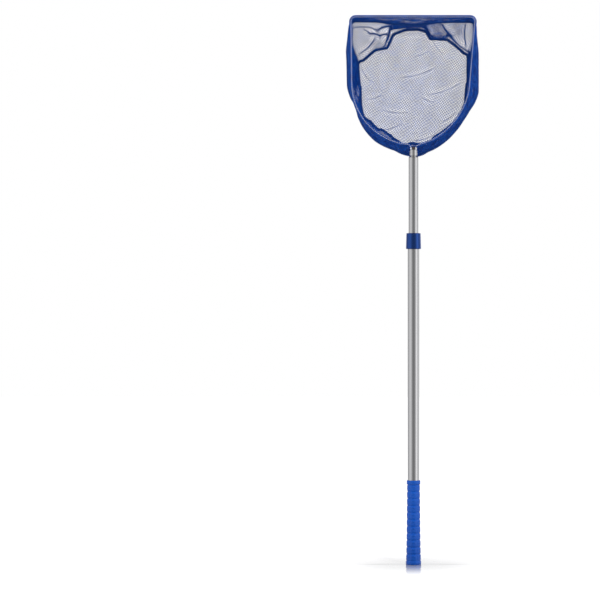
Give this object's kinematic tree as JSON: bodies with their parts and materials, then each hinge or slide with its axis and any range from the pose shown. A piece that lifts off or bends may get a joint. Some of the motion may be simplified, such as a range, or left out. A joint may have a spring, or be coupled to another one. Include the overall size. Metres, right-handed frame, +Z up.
{
  "type": "leaf skimmer net",
  "caption": "Hand skimmer net: telescopic twist-lock aluminium pole with a rubber grip, a shield-shaped wire hoop and a deep sewn bag of fine mesh.",
  "frame": {"origin": "centre of the grip's flat bottom face", "axes": "+Z up the pole towards the net, -Y out of the hoop's mouth, +X to the right seen from the mouth"},
  "size_m": [0.2145, 0.1073, 0.8786],
  "materials": {
    "grip_rubber": "satin moulded rubber",
    "black_plastic": "moulded nylon",
    "aluminium": "satin, finely brushed lengthwise",
    "collar_plastic": "glossy",
    "white_plastic": "moulded nylon",
    "zinc_steel": "zinc plated",
    "bright_wire": "bright drawn wire",
    "dark_plug": "moulded",
    "blue_net": "fine knitted mesh",
    "seam_thread": "overlocked thread"
  },
  "bodies": {
    "root": {"handle_grip": "grip_rubber", "tube_end_plug": "black_plastic", "outer_tube": "aluminium", "pole_collar": "collar_plastic", "guide_bush": "white_plastic"},
    "lock_ring": {"cam_ring": "white_plastic"},
    "upper_pole": {"cam_plug": "black_plastic", "cam_washer": "zinc_steel", "cam_screw": "zinc_steel", "inner_tube": "aluminium", "neck_plug": "dark_plug", "hoop_wire": "bright_wire", "hem_sleeve": "blue_net", "hem_stitch": "seam_thread", "bag_band": "blue_net", "rim_seam": "seam_thread", "bag_wall": "blue_net", "floor_seam": "seam_thread", "bag_floor": "blue_net", "band_join_seam": "seam_thread", "wall_join_seam": "seam_thread"}
  },
  "joints": [
    {"name": "pole_slide", "type": "slide", "parent": "root", "child": "lock_ring", "axis": [0, 0, 1], "range_m": [-0.118, 0.338]},
    {"name": "pole_twist", "type": "hinge", "parent": "lock_ring", "child": "upper_pole", "pos_m": [0, 0, 0.154], "axis": [0, 0, 1], "range_deg": [0, 180]}
  ]
}
